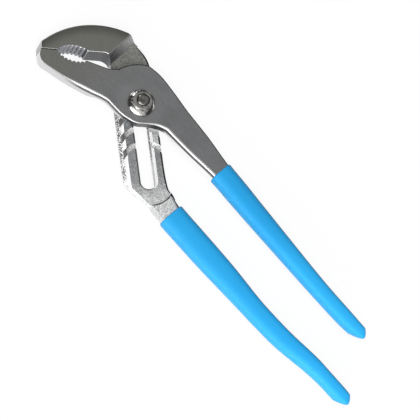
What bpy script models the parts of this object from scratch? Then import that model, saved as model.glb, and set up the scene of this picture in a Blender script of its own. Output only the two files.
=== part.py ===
# Water pump pliers: two forged halves on a sliding bolt, with dipped grips.
# The jaws point to -X, the handles to +X, and the bolt's axis is +Z through the origin.
# The tool lies on the bolt's head, whose flat face is at Z = 0. Sizes are in metres.
import math

import bmesh
import bpy
from mathutils import Vector

# Fits and broken edges
GAP = 0.0003
EDGE_BREAK = 0.0009
EDGE_ANGLE = math.radians(50.0)
FLAT_ANGLE = math.radians(0.5)
WELD_DISTANCE = 0.0001

# Steps of the curves
HANDLE_STEPS = 3
CORNER_STEPS = 6
BEND_STEPS = 12
ROUND_STEPS = 40
GRIP_SIDES = 24
GRIP_END_RINGS = 6
SMOOTH_ANGLE = math.radians(35.0)

# Colour, roughness and metallic value of each finish
BRUSHED_STEEL = (0.30, 0.30, 0.31), 0.34, 1.0
BLASTED_STEEL = (0.52, 0.52, 0.53), 0.48, 1.0
BOLT_STEEL = (0.60, 0.60, 0.61), 0.25, 1.0
CHROME = (0.66, 0.66, 0.67), 0.16, 1.0
BLUE_VINYL = (0.03, 0.36, 0.86), 0.32, 0.0

# Sliding bolt and its flange nut
SHANK_DIAMETER = 0.0092
THREAD_DIAMETER = 0.0080
HEAD_DIAMETER = 0.0180
HEAD_HEIGHT = 0.0040
HEAD_CHAMFER = 0.0010
BOLT_STANDOUT = 0.0008
TIP_CHAMFER = 0.0007
NUT_FLATS = 0.0130
NUT_HEIGHT = 0.0065
NUT_CHAMFER = 0.0009
NUT_TURN = math.radians(12.0)
FLANGE_DIAMETER = 0.0179
FLANGE_RIM = 0.0011
FLANGE_RISE = 0.0016

# Thickness of the two lapped halves and of their handles
LAP_THICKNESS = 0.0070
HANDLE_THICKNESS = 0.0090
TANG_END_THICKNESS = 0.0070

# Slot, seats and tongue
SEAT_COUNT = 5
SEAT_PITCH = 0.0108
SLOT_ANGLE = math.radians(-35.5)
SLOT_RUNOUT = 0.0073
SLOT_BEVEL = 0.0014
GROOVE_RADIUS = 0.0180
GROOVE_WIDTH = 0.0036
GROOVE_DEPTH = 0.0022
GROOVE_SWEEP = math.radians(56.0)
RAIL_LEFT = 0.0152
RAIL_RIGHT = 0.0115
RAIL_BEVEL = 0.0036
STEP_RADIUS = 0.0164

# Jaws, set out from the tip along their line of contact
JAW_TIP = Vector((-0.0686, -0.0258))
JAW_ANGLE = math.radians(47.1)
CONTACT_LENGTH = 0.0104
POCKET_CHORD = 0.0205
UPPER_POCKET_DEPTH = 0.0030
LOWER_POCKET_DEPTH = 0.0033
LOWER_MOUTH_ANGLE = math.radians(-17.1)
LOWER_FLAT_LENGTH = 0.0150
UPPER_TIP_DEPTH = 0.0048
UPPER_BACK_RISE = 0.0082
UPPER_JAW_SETBACK = 0.0030
TOOTH_PITCH = 0.0026
TOOTH_DEPTH = 0.0011
TOOTH_TIP = 0.0006

# Front half, with the tongue and the lower jaw
SHOULDER_RADIUS = 0.0267
SHOULDER_FROM = math.radians(170.0)
SHOULDER_TO = math.radians(126.0)
EYE_RADIUS = 0.0140
EYE_FROM = math.radians(-20.0)
EYE_TO = math.radians(-98.0)
RELIEF_RADIUS = 0.0288
RELIEF_HALF_TURN = math.radians(105.0)
RELIEF_DRAFT = 0.0220
RELIEF_TO_X = 0.0265
FRONT_STEP_X = -0.0044
FRONT_CROWN = [(-0.0059, 0.0231), (0.0062, 0.0224)]
FRONT_HEEL = (-0.0165, -0.0152)
FRONT_BELLY = (-0.0568, -0.0297)
FRONT_BELLY_RISE = 0.0012
FRONT_NOSE_RISE = 0.0026
BELLY_DRAFT = 0.0026
BELLY_DRAFT_RISE = 0.0044
NOSE_DRAFT_SHARE = 0.4
FRONT_NECK = (0.0181, -0.0011)
FRONT_GRIP_FROM = 0.0665
FRONT_GRIP_END = 0.2081
# Middle line and width of the handle: x, y, width
FRONT_HANDLE = [
    (0.0240, 0.01085, 0.0191),
    (0.0340, 0.01070, 0.0182),
    (0.0470, 0.01045, 0.0167),
    (0.0665, 0.01015, 0.0127),
    (0.0846, 0.00860, 0.0112),
    (0.1070, 0.00785, 0.0104),
    (0.1610, 0.00720, 0.0086),
    (0.1880, 0.00725, 0.0082),
    (0.1985, 0.00740, 0.0067),
]

# Back half, with the slot and the upper jaw
STEP_TOP_X = -0.0376
STEP_FOOT_X = -0.0326
STEP_LEAN = 0.038
BACK_HEEL = (-0.0402, 0.0264)
BACK_NECK = [(-0.0338, 0.0272), (-0.0275, 0.0275), (-0.0207, 0.0267), (-0.0136, 0.0237)]
BACK_THROAT_ROUND = 0.0055
BACK_CORNER_ROUND = 0.0040
# The handle is set out from the middle of the slot's end: x, y, width
BACK_HANDLE = [
    (0.0139, -0.00275, 0.0145),
    (0.0189, -0.00320, 0.0146),
    (0.0256, -0.00375, 0.0147),
    (0.0599, -0.00435, 0.0133),
    (0.1024, -0.00510, 0.0092),
    (0.1149, -0.00490, 0.0089),
    (0.1343, -0.00370, 0.0094),
    (0.1559, -0.00085, 0.0086),
    (0.1699, 0.00000, 0.0071),
    (0.1834, 0.00020, 0.0066),
]
BACK_GRIP_FROM = 0.0256
BACK_GRIP_END = 0.1922
# Right-hand bend between rail and handle: along the slot past its end, and across
BACK_HIP = (0.0008, 0.0122)

# Dipped grips
GRIP_WALL = 0.0018
GRIP_LIP = 0.0020
GRIP_SQUARENESS = 2.8

# Worked out from the sizes above
BACK_FACE = HEAD_HEIGHT + GAP
RECESS_FACE = BACK_FACE + LAP_THICKNESS - GAP / 2
TONGUE_FACE = RECESS_FACE + GAP
FRONT_FACE = BACK_FACE + 2 * LAP_THICKNESS
NUT_SEAT = FRONT_FACE + GAP
SLOT_HALF_WIDTH = SHANK_DIAMETER / 2 + GAP
SLOT_LENGTH = SEAT_PITCH * (SEAT_COUNT - 1) + SLOT_RUNOUT
OVERRUN = 0.0040
ORIGIN = Vector((0, 0))
FRONT_MIDDLE = FRONT_FACE - HANDLE_THICKNESS / 2
BACK_MIDDLE = BACK_FACE + HANDLE_THICKNESS / 2
SIDE_REACH = 0.1


def direction(angle):
    return Vector((math.cos(angle), math.sin(angle)))


def jaw_point(along, across):
    ahead = direction(JAW_ANGLE)
    return JAW_TIP + along * ahead + across * ahead.orthogonal()


def slot_point(along, across):
    ahead = direction(SLOT_ANGLE)
    return along * ahead + across * ahead.orthogonal()


def arc(centre, radius, start, end, count):
    steps = [start + (end - start) * i / count for i in range(count + 1)]
    return [centre + radius * direction(a) for a in steps]


# A round stretch from one point to another that rises to the left of the way between them.
def bulge(start, end, rise, count):
    start, end = Vector(start), Vector(end)
    chord = end - start
    radius = (chord.length_squared / 4 + rise * rise) / (2 * abs(rise))
    side = chord.orthogonal().normalized() * math.copysign(1, rise)
    centre = (start + end) / 2 + side * (abs(rise) - radius)
    half = math.atan2(chord.length / 2, radius - abs(rise))
    middle = math.atan2(side.y, side.x)
    turn = half * math.copysign(1, rise)
    return arc(centre, radius, middle + turn, middle - turn, count)


# A smooth curve through points of any number of values.
def smooth(points, steps):
    points = [Vector(p) for p in points]
    padded = [2 * points[0] - points[1], *points, 2 * points[-1] - points[-2]]
    curve = []
    for a, b, c, d in zip(padded, padded[1:], padded[2:], padded[3:]):
        for i in range(steps):
            t = i / steps
            curve.append(
                ((2 * b) + (c - a) * t + (2 * a - 5 * b + 4 * c - d) * t * t
                 + (3 * b - a - 3 * c + d) * t * t * t) / 2
            )
    return [*curve, points[-1]]


# A corner rounded off from the point before it to the point after it.
def rounded(before, corner, after, count):
    steps = [i / count for i in range(count + 1)]
    return [(1 - t) ** 2 * before + 2 * t * (1 - t) * corner + t * t * after for t in steps]


def collection(name):
    group = bpy.data.collections.new(name)
    bpy.context.scene.collection.children.link(group)
    return group


def add_mesh(name, mesh, group):
    obj = bpy.data.objects.new(name, mesh)
    group.objects.link(obj)
    return obj


def hide(obj):
    obj.hide_render = True
    obj.display_type = "WIRE"


def add_cutter(name, mesh):
    obj = add_mesh(name, mesh, cutters)
    hide(obj)
    return obj


# An outline given a thickness along Z, as a closed mesh.
def slab(name, outline, low, high):
    curve = bpy.data.curves.new(name, "CURVE")
    curve.dimensions = "2D"
    curve.fill_mode = "BOTH"
    curve.extrude = (high - low) / 2
    spline = curve.splines.new("POLY")
    spline.points.add(len(outline) - 1)
    for point, place in zip(spline.points, outline):
        point.co = (place[0], place[1], 0, 1)
    spline.use_cyclic_u = True
    flat = add_mesh(name, curve, bpy.context.scene.collection)
    shape = flat.evaluated_get(bpy.context.evaluated_depsgraph_get())
    mesh = bpy.data.meshes.new_from_object(shape)
    bpy.data.objects.remove(flat)
    solid = bmesh.new()
    solid.from_mesh(mesh)
    bmesh.ops.remove_doubles(solid, verts=solid.verts, dist=1e-6)
    bmesh.ops.translate(solid, verts=solid.verts, vec=(0, 0, (low + high) / 2))
    bmesh.ops.recalc_face_normals(solid, faces=solid.faces)
    solid.to_mesh(mesh)
    solid.free()
    return mesh


def remove_repeats(points):
    return [p for i, p in enumerate(points) if i == 0 or math.dist(p, points[i - 1]) > GAP / 10]


# Closed rings of equal count joined one to the next and capped at both ends.
def loft(name, stacks):
    solid = bmesh.new()
    for rings in stacks:
        rows = [[solid.verts.new(p) for p in ring] for ring in rings]
        for low, high in zip(rows, rows[1:]):
            for i in range(len(low)):
                solid.faces.new((low[i - 1], low[i], high[i], high[i - 1]))
        solid.faces.new(reversed(rows[0]))
        solid.faces.new(rows[-1])
    bmesh.ops.recalc_face_normals(solid, faces=solid.faces)
    mesh = bpy.data.meshes.new(name)
    solid.to_mesh(mesh)
    solid.free()
    return mesh


def at_height(outline, z):
    return [(p[0], p[1], z) for p in outline]


def boolean(target, tool, operation="DIFFERENCE"):
    change = target.modifiers.new(tool.name, "BOOLEAN")
    change.operation = operation
    change.object = tool


# A profile of (radius, height) pairs, top to bottom, turned about Z.
def turned(name, profile, group):
    mesh = bpy.data.meshes.new(name)
    links = [(i, i + 1) for i in range(len(profile) - 1)]
    mesh.from_pydata([(r, 0, z) for r, z in profile], links, [])
    obj = add_mesh(name, mesh, group)
    screw = obj.modifiers.new("Turn", "SCREW")
    screw.steps = ROUND_STEPS
    screw.render_steps = ROUND_STEPS
    screw.use_merge_vertices = True
    screw.merge_threshold = 1e-6
    screw.use_smooth_shade = False
    return obj


# The finished shape kept as a plain mesh, its round faces shaded smooth.
def shade_round(obj):
    shape = obj.evaluated_get(bpy.context.evaluated_depsgraph_get())
    mesh = bpy.data.meshes.new_from_object(shape)
    mesh.name = obj.name
    obj.modifiers.clear()
    obj.data = mesh
    mesh.shade_smooth()
    mesh.set_sharp_from_angle(angle=SMOOTH_ANGLE)


def finish(obj, colour, roughness, metallic):
    material = bpy.data.materials.new(obj.name)
    material.use_nodes = True
    shader = material.node_tree.nodes["Principled BSDF"]
    shader.inputs["Base Color"].default_value = (*colour, 1)
    shader.inputs["Roughness"].default_value = roughness
    shader.inputs["Metallic"].default_value = metallic
    obj.data.materials.clear()
    obj.data.materials.append(material)


# Handle thickness at x: even as far as the grip's mouth, then tapering along the tang.
def thickness_at(x, grip_from, tang_end):
    share = max(0, (x - grip_from) / (tang_end - grip_from))
    return HANDLE_THICKNESS + (TANG_END_THICKNESS - HANDLE_THICKNESS) * min(1, share)


# The side view that gives a forging its thickness, as a tool for an intersection.
def side_profile(name, jaw_back, step_x, middle, grip_from, tang_end):
    upper = [(JAW_TIP.x - SIDE_REACH, FRONT_FACE), (step_x, FRONT_FACE)]
    lower = [(JAW_TIP.x - SIDE_REACH, jaw_back)]
    if jaw_back < BACK_FACE:
        lower += [(STEP_TOP_X, jaw_back), (STEP_FOOT_X, BACK_FACE)]
    lower.append((step_x, BACK_FACE))
    for x in (step_x, grip_from, tang_end, tang_end + OVERRUN):
        half = thickness_at(x, grip_from, tang_end) / 2
        upper.append((x, middle + half))
        lower.append((x, middle - half))
    outline = remove_repeats(upper) + remove_repeats(lower)[::-1]
    walls = [[(x, y, z) for x, z in outline] for y in (SIDE_REACH, -SIDE_REACH)]
    return add_cutter(name, loft(name, [walls]))


def handle_line(stations):
    return smooth(stations, HANDLE_STEPS)


# The place and width of a handle at x, on the straight stretches between its points.
def station_at(line, x):
    for a, b in zip(line, line[1:]):
        if x <= b.x:
            return a.lerp(b, (x - a.x) / (b.x - a.x))
    return line[-1]


def tang_round(stations):
    return stations[-1][2] / 3


def handle_edges(stations):
    line = handle_line(stations)
    upper = [Vector((x, y + w / 2)) for x, y, w in line]
    lower = [Vector((x, y - w / 2)) for x, y, w in reversed(line)]
    return upper, lower


# V-shaped gullets along a round pocket, cut through the jaw's whole thickness.
def gullets(name, pocket):
    start, middle, end = pocket[0], pocket[len(pocket) // 2], pocket[-1]
    chord = end - start
    rise = (middle - (start + end) / 2).length
    radius = (chord.length_squared / 4 + rise * rise) / (2 * rise)
    inward = (middle - (start + end) / 2).normalized()
    centre = middle - radius * inward
    half = math.asin(chord.length / 2 / radius)
    count = int(2 * half * radius / TOOTH_PITCH)
    facing = math.atan2(inward.y, inward.x)
    open_angle = (TOOTH_PITCH - TOOTH_TIP) / 2 / radius
    stacks = []
    for i in range(count):
        turn = facing + (i - (count - 1) / 2) * TOOTH_PITCH / radius
        notch = [
            centre + (radius + TOOTH_DEPTH) * direction(turn),
            centre + radius * direction(turn + open_angle),
            centre + (radius - TOOTH_DEPTH) * direction(turn + open_angle),
            centre + (radius - TOOTH_DEPTH) * direction(turn - open_angle),
            centre + radius * direction(turn - open_angle),
        ]
        faces = (BACK_FACE - OVERRUN, FRONT_FACE + OVERRUN)
        stacks.append([at_height(notch, z) for z in faces])
    return add_cutter(name, loft(name, stacks))


# A ring's stretch about a seat, measured from the slot's line towards the jaws.
def ring_stretch(seat, width, start, end, low, high, count):
    backwards = SLOT_ANGLE + math.pi
    outer, inner = GROOVE_RADIUS + width / 2, GROOVE_RADIUS - width / 2
    outline = arc(seat, outer, backwards + start, backwards + end, count)
    outline += arc(seat, inner, backwards + end, backwards + start, count)
    return [at_height(outline, z) for z in (low, high)]


def break_edges(obj):
    flat = obj.modifiers.new("Whole faces", "DECIMATE")
    flat.decimate_type = "DISSOLVE"
    flat.angle_limit = FLAT_ANGLE
    weld = obj.modifiers.new("Clean corners", "WELD")
    weld.merge_threshold = WELD_DISTANCE
    bevel = obj.modifiers.new("Edge break", "BEVEL")
    bevel.width = EDGE_BREAK
    bevel.segments = 1
    bevel.limit_method = "ANGLE"
    bevel.angle_limit = EDGE_ANGLE


# The tool that draws in the back edge of the lower jaw's outer side, less so towards its tip.
def belly_draft(path, shares):
    ahead = [b - a for a, b in zip([path[0], *path], [*path[1:], path[-1]])]
    rings = []
    for place, way, share in zip(path, ahead, shares):
        out = way.orthogonal().normalized()
        rise, draft = BELLY_DRAFT_RISE * share, BELLY_DRAFT * share
        inner = place - out * draft * (1 + OVERRUN / rise)
        outer = place + out * OVERRUN
        low, high = BACK_FACE - OVERRUN, BACK_FACE + rise * (1 + OVERRUN / draft)
        rings.append([(*inner, low), (*outer, low), (*outer, high)])
    return add_cutter("belly_draft", loft("belly_draft", [rings]))


def lower_pocket():
    ahead = direction(JAW_ANGLE + LOWER_MOUTH_ANGLE)
    start = jaw_point(CONTACT_LENGTH, -GAP / 2)
    end = start + POCKET_CHORD * ahead
    throat = end + LOWER_FLAT_LENGTH * ahead
    return bulge(start, end, -LOWER_POCKET_DEPTH, BEND_STEPS), throat


def upper_pocket():
    start = jaw_point(CONTACT_LENGTH, GAP / 2)
    end = jaw_point(CONTACT_LENGTH + POCKET_CHORD, GAP / 2)
    return bulge(start, end, UPPER_POCKET_DEPTH, BEND_STEPS)


def front_half():
    pocket, throat = lower_pocket()
    upper, lower = handle_edges(FRONT_HANDLE)
    shoulder = arc(ORIGIN, SHOULDER_RADIUS, SHOULDER_FROM, SHOULDER_TO, BEND_STEPS)
    lead = [shoulder[-2], shoulder[-1], *FRONT_CROWN, upper[0], upper[HANDLE_STEPS]]
    crown = smooth(lead, HANDLE_STEPS)
    eye = arc(ORIGIN, EYE_RADIUS, EYE_FROM, EYE_TO, BEND_STEPS)
    outline = [jaw_point(0, -GAP / 2), *pocket, throat]
    outline += shoulder[:-1] + crown[HANDLE_STEPS:-HANDLE_STEPS - 1] + upper
    outline += bulge(upper[-1], lower[0], tang_round(FRONT_HANDLE), CORNER_STEPS)[1:-1]
    outline += smooth([*lower, FRONT_NECK, eye[0]], 1) + eye[1:]
    belly = bulge(FRONT_HEEL, FRONT_BELLY, FRONT_BELLY_RISE, CORNER_STEPS)
    nose = bulge(FRONT_BELLY, jaw_point(0, -GAP / 2), FRONT_NOSE_RISE, CORNER_STEPS)[1:]
    outline += belly + nose[:-1]

    obj = add_mesh("front_half", slab("front_half", outline, BACK_FACE, FRONT_FACE), parts)
    tang_end = FRONT_HANDLE[-1][0]
    side = side_profile(
        "front_side", BACK_FACE, FRONT_STEP_X, FRONT_MIDDLE, FRONT_GRIP_FROM, tang_end
    )
    boolean(obj, side, "INTERSECT")
    break_edges(obj)

    beyond = nose[-1] + (nose[-1] - nose[-2]).normalized() * OVERRUN
    fade = [1 - (1 - NOSE_DRAFT_SHARE) * (i + 1) / len(nose) for i in range(len(nose))]
    shares = [1] * len(belly) + fade + [NOSE_DRAFT_SHARE]
    boolean(obj, belly_draft([*belly, *nose, beyond], shares))

    relief = []
    for z, draft in ((BACK_FACE - OVERRUN, RELIEF_DRAFT), (TONGUE_FACE, 0)):
        ring = arc(
            ORIGIN,
            RELIEF_RADIUS + draft,
            math.pi - RELIEF_HALF_TURN,
            math.pi + RELIEF_HALF_TURN,
            ROUND_STEPS,
        )
        ring += [Vector((RELIEF_TO_X + draft, y)) for y in (-SIDE_REACH, SIDE_REACH)]
        relief.append(at_height(ring, z))
    boolean(obj, add_cutter("front_relief", loft("front_relief", [relief])))

    tongue_width = GROOVE_WIDTH - 2 * GAP
    tongue_low = TONGUE_FACE - GROOVE_DEPTH + GAP
    turn = math.asin((SLOT_HALF_WIDTH - GAP) / (GROOVE_RADIUS + tongue_width / 2))
    tongue = ring_stretch(
        ORIGIN, tongue_width, -turn, turn, tongue_low, TONGUE_FACE + LAP_THICKNESS / 2, CORNER_STEPS
    )
    boolean(obj, add_cutter("tongue", loft("tongue", [tongue])), "UNION")

    hole = arc(ORIGIN, SHANK_DIAMETER / 2 + GAP, 0, math.tau, ROUND_STEPS)[:-1]
    drill = [at_height(hole, z) for z in (BACK_FACE - OVERRUN, FRONT_FACE + OVERRUN)]
    boolean(obj, add_cutter("bolt_hole", loft("bolt_hole", [drill])))
    boolean(obj, gullets("lower_gullets", pocket))
    finish(obj, *BRUSHED_STEEL)


def back_handle():
    end = slot_point(SLOT_LENGTH, 0)
    return [(end.x + x, end.y + y, w) for x, y, w in BACK_HANDLE]


def back_half():
    end = slot_point(SLOT_LENGTH, 0)
    pocket = upper_pocket()
    stations = back_handle()
    upper, lower = handle_edges(stations)

    ahead, across = direction(JAW_ANGLE), slot_point(0, 1)
    mouth_start = jaw_point(0, GAP / 2)
    throat_along = (-RAIL_LEFT - mouth_start.dot(across)) / ahead.dot(across)
    throat = jaw_point(throat_along, GAP / 2)
    down = direction(SLOT_ANGLE)
    corner = slot_point(SLOT_LENGTH, -RAIL_LEFT)
    turn = (lower[-1] - corner).normalized()

    outline = [mouth_start, *pocket]
    outline += rounded(
        throat - ahead * BACK_THROAT_ROUND, throat, throat + down * BACK_THROAT_ROUND, CORNER_STEPS
    )
    outline += rounded(
        corner - down * BACK_CORNER_ROUND, corner, corner + turn * BACK_CORNER_ROUND, CORNER_STEPS
    )
    outline += list(reversed(lower))
    outline += bulge(lower[0], upper[-1], -tang_round(stations), CORNER_STEPS)[1:-1]
    outline += list(reversed(upper))
    hip = slot_point(SLOT_LENGTH + BACK_HIP[0], BACK_HIP[1])
    rail_from = slot_point(SLOT_LENGTH - SEAT_PITCH, RAIL_RIGHT)
    rail = smooth([upper[1], upper[0], hip, rail_from, slot_point(0, RAIL_RIGHT)], HANDLE_STEPS)
    outline += rail[HANDLE_STEPS + 1:-HANDLE_STEPS]
    rail_to = slot_point(-GROOVE_RADIUS, RAIL_RIGHT)
    outline += smooth([rail_to, *reversed(BACK_NECK), BACK_HEEL], HANDLE_STEPS)
    nose = jaw_point(0, UPPER_TIP_DEPTH)
    outline += bulge(BACK_HEEL, nose, -UPPER_BACK_RISE, BEND_STEPS)[1:]

    jaw_back = BACK_FACE - UPPER_JAW_SETBACK
    obj = add_mesh("back_half", slab("back_half", outline, jaw_back, FRONT_FACE), parts)
    step_x, grip_from = end.x - STEP_RADIUS, end.x + BACK_GRIP_FROM
    side = side_profile("back_side", jaw_back, step_x, BACK_MIDDLE, grip_from, stations[-1][0])
    boolean(obj, side, "INTERSECT")
    break_edges(obj)

    reach = 2 * STEP_RADIUS
    top = FRONT_FACE + OVERRUN
    right = SLOT_ANGLE - math.pi / 2
    slope = (STEP_TOP_X - STEP_FOOT_X) / (FRONT_FACE - RECESS_FACE)
    recess = []
    for z, edge in ((RECESS_FACE, STEP_FOOT_X), (top, STEP_FOOT_X + slope * (top - RECESS_FACE))):
        ring = [Vector((edge - STEP_LEAN * y, y)) for y in (reach, -reach / 2)]
        ring += [slot_point(0, -reach), slot_point(SLOT_LENGTH, -reach)]
        ring += arc(end, STEP_RADIUS, right, right + math.pi, ROUND_STEPS)
        ring += [slot_point(SLOT_LENGTH, reach), slot_point(0, reach)]
        recess.append(at_height(ring, z))
    boolean(obj, add_cutter("recess", loft("recess", [recess])))

    flank = []
    for along in (-GROOVE_RADIUS, SLOT_LENGTH):
        foot = slot_point(along, -RAIL_LEFT - OVERRUN)
        inner = slot_point(along, -RAIL_LEFT + RAIL_BEVEL + OVERRUN)
        high = RECESS_FACE + OVERRUN
        low = RECESS_FACE - RAIL_BEVEL - OVERRUN
        flank.append([(*foot, low), (*inner, high), (*foot, high)])
    boolean(obj, add_cutter("rail_flank", loft("rail_flank", [flank])))

    slot = []
    mouth = RECESS_FACE - SLOT_BEVEL
    for z, grow in ((BACK_FACE - OVERRUN, 0), (mouth, 0), (top, top - mouth)):
        radius = SLOT_HALF_WIDTH + grow
        ring = arc(ORIGIN, radius, right + math.pi, right + math.tau, BEND_STEPS)
        ring += arc(end, radius, right, right + math.pi, BEND_STEPS)
        slot.append(at_height(ring, z))
    boolean(obj, add_cutter("slot", loft("slot", [slot])))

    stacks = []
    for i in range(SEAT_COUNT):
        seat = slot_point(i * SEAT_PITCH, 0)
        floor = RECESS_FACE - GROOVE_DEPTH
        stacks.append(
            ring_stretch(seat, GROOVE_WIDTH, -GROOVE_SWEEP, GROOVE_SWEEP, floor, top, BEND_STEPS)
        )
    boolean(obj, add_cutter("grooves", loft("grooves", stacks)))

    channel_end = -GROOVE_RADIUS - GROOVE_WIDTH / 2
    corners = [(0, 1), (channel_end, 1), (channel_end, -1), (0, -1)]
    ring = [slot_point(along, side * SLOT_HALF_WIDTH) for along, side in corners]
    channel = [at_height(ring, z) for z in (RECESS_FACE - GROOVE_DEPTH, top)]
    boolean(obj, add_cutter("tongue_channel", loft("tongue_channel", [channel])))
    boolean(obj, gullets("upper_gullets", pocket))
    finish(obj, *BLASTED_STEEL)


# One squarish ring across a grip, standing across X.
def grip_ring(x, y, z, half_width, half_thickness):
    ring = []
    for i in range(GRIP_SIDES):
        turn = math.tau * i / GRIP_SIDES
        c, s = math.cos(turn), math.sin(turn)
        power = 2 / GRIP_SQUARENESS
        across = math.copysign(abs(c) ** power, c) * half_width
        height = math.copysign(abs(s) ** power, s) * half_thickness
        ring.append((x, y + across, z + height))
    return ring


def grip(name, stations, middle, grip_from, grip_end):
    tang_end = stations[-1][0]
    line = handle_line(stations)
    mouth = station_at(line, grip_from)
    inside = [p for p in line if p.x > grip_from + GRIP_LIP]

    def half_sizes(place, wall):
        thick = thickness_at(place.x, grip_from, tang_end)
        return place.z / 2 + wall, thick / 2 + wall

    wide, thick = half_sizes(mouth, GRIP_WALL)
    lip = GRIP_WALL / 3
    rings = [
        grip_ring(mouth.x, mouth.y, middle, wide - lip, thick - lip),
        grip_ring(mouth.x + GRIP_LIP / 2, mouth.y, middle, wide, thick),
    ]
    rings += [grip_ring(p.x, p.y, middle, *half_sizes(p, GRIP_WALL)) for p in inside]
    last = inside[-1]
    slope = (last.y - inside[-2].y) / (last.x - inside[-2].x)
    wide, thick = half_sizes(last, GRIP_WALL)
    for i in range(1, GRIP_END_RINGS):
        turn = math.pi / 2 * i / GRIP_END_RINGS
        size = math.cos(turn)
        ahead = (grip_end - last.x) * math.sin(turn)
        x, y = last.x + ahead, last.y + slope * ahead
        rings.append(grip_ring(x, y, middle, wide * size, thick * size))
    obj = add_mesh(name, loft(name, [rings]), parts)

    before = station_at(line, grip_from - OVERRUN)
    after = last + Vector((tang_round(stations) + GAP, 0, 0))
    pocket = []
    for place in [before, mouth, *[p for p in line if p.x > grip_from + GAP], after]:
        wide, thick = half_sizes(place, GAP)
        corners = [(wide, thick), (-wide, thick), (-wide, -thick), (wide, -thick)]
        pocket.append([(place.x, place.y + a, middle + b) for a, b in corners])
    boolean(obj, add_cutter(name + "_pocket", loft(name + "_pocket", [pocket])))
    shade_round(obj)
    finish(obj, *BLUE_VINYL)


def pivot_bolt():
    shank, thread, head = SHANK_DIAMETER / 2, THREAD_DIAMETER / 2, HEAD_DIAMETER / 2
    tip = NUT_SEAT + NUT_HEIGHT + BOLT_STANDOUT
    profile = [
        (0, tip),
        (thread - TIP_CHAMFER, tip),
        (thread, tip - TIP_CHAMFER),
        (thread, FRONT_FACE),
        (shank, FRONT_FACE),
        (shank, HEAD_HEIGHT),
        (head, HEAD_HEIGHT),
        (head, HEAD_CHAMFER),
        (head - HEAD_CHAMFER, 0),
        (0, 0),
    ]
    obj = turned("pivot_bolt", profile, parts)
    shade_round(obj)
    finish(obj, *BOLT_STEEL)


def flange_nut():
    top = NUT_SEAT + NUT_HEIGHT
    corner = NUT_FLATS / math.sqrt(3)
    bpy.ops.mesh.primitive_cylinder_add(vertices=6, radius=corner, depth=NUT_HEIGHT)
    obj = bpy.context.object
    obj.name = "flange_nut"
    obj.data.name = "flange_nut"
    for group in obj.users_collection:
        group.objects.unlink(obj)
    parts.objects.link(obj)
    obj.rotation_euler.z = NUT_TURN
    obj.location.z = NUT_SEAT + NUT_HEIGHT / 2

    crown = [
        (0, top),
        (NUT_FLATS / 2, top),
        (corner + GAP, top - NUT_CHAMFER),
        (corner + GAP, NUT_SEAT - OVERRUN),
        (0, NUT_SEAT - OVERRUN),
    ]
    tool = turned("nut_crown", crown, cutters)
    hide(tool)
    boolean(obj, tool, "INTERSECT")

    rim = FLANGE_DIAMETER / 2
    skirt = [
        (0, NUT_SEAT + FLANGE_RIM + FLANGE_RISE),
        (corner - FLANGE_RISE / 2, NUT_SEAT + FLANGE_RIM + FLANGE_RISE),
        (rim, NUT_SEAT + FLANGE_RIM),
        (rim, NUT_SEAT),
        (0, NUT_SEAT),
    ]
    flange = turned("nut_flange", skirt, cutters)
    hide(flange)
    boolean(obj, flange, "UNION")

    bore = arc(ORIGIN, THREAD_DIAMETER / 2 + GAP, 0, math.tau, ROUND_STEPS)[:-1]
    drill = [at_height(bore, z) for z in (NUT_SEAT - OVERRUN, top + OVERRUN)]
    boolean(obj, add_cutter("nut_bore", loft("nut_bore", [drill])))
    shade_round(obj)
    finish(obj, *CHROME)


for old in list(bpy.data.objects):
    bpy.data.objects.remove(old)
parts = collection("water_pump_pliers")
cutters = collection("cutters")
front_half()
back_half()
grip("front_grip", FRONT_HANDLE, FRONT_MIDDLE, FRONT_GRIP_FROM, FRONT_GRIP_END)
slot_end = slot_point(SLOT_LENGTH, 0).x
grip(
    "back_grip",
    back_handle(),
    BACK_MIDDLE,
    slot_end + BACK_GRIP_FROM,
    slot_end + BACK_GRIP_END,
)
pivot_bolt()
flange_nut()
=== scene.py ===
import bmesh
import bpy
from math import asin, atan2, copysign, cos, pi, radians, sin, sqrt, tau
from mathutils import Matrix, Vector


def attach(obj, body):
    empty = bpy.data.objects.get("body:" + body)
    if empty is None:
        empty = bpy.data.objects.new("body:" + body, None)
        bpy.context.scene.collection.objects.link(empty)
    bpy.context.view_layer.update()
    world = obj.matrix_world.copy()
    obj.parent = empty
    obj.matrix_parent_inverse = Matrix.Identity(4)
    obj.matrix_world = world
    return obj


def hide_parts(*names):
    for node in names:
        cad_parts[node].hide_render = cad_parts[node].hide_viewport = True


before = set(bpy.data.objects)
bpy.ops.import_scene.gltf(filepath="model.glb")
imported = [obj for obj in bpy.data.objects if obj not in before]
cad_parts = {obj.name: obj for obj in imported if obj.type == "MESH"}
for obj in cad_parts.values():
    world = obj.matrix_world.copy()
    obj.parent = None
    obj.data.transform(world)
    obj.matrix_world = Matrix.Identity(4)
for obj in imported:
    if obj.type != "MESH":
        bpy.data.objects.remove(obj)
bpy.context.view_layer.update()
scene = bpy.context.scene
zero = Vector((0, 0))
print("frame loaded:", sorted(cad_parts))

# sizes that the pieces share, in metres
joint = {
    "gap": 0.0003, "backFace": 0.0043, "recessFace": 0.01115, "tongueFace": 0.01145,
    "frontFace": 0.0183, "lap": 0.007, "slotAngle": radians(-35.5), "slotLength": 0.0505,
    "slotHalf": 0.0049, "seatPitch": 0.0108, "seats": 5, "grooveRadius": 0.018,
    "grooveWidth": 0.0036, "grooveDepth": 0.0022, "grooveSweep": radians(56), "edgeRound": 0.0025,
    "backRound": 0.0008, "edgeSteps": 6, "sharpest": 0.6, "fineRound": 0.0004, "fineSteps": 2,
    "fineFrom": radians(50), "weld": 0.0001, "smoothFrom": 28, "normalWeight": 80, "over": 0.004,
    "reach": 0.1, "holeSteps": 64, "pocketSteps": 20, "endSteps": 8,
}
gap, over, reach = joint["gap"], joint["over"], joint["reach"]
backFace, recessFace = joint["backFace"], joint["recessFace"]
tongueFace, frontFace = joint["tongueFace"], joint["frontFace"]

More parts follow.
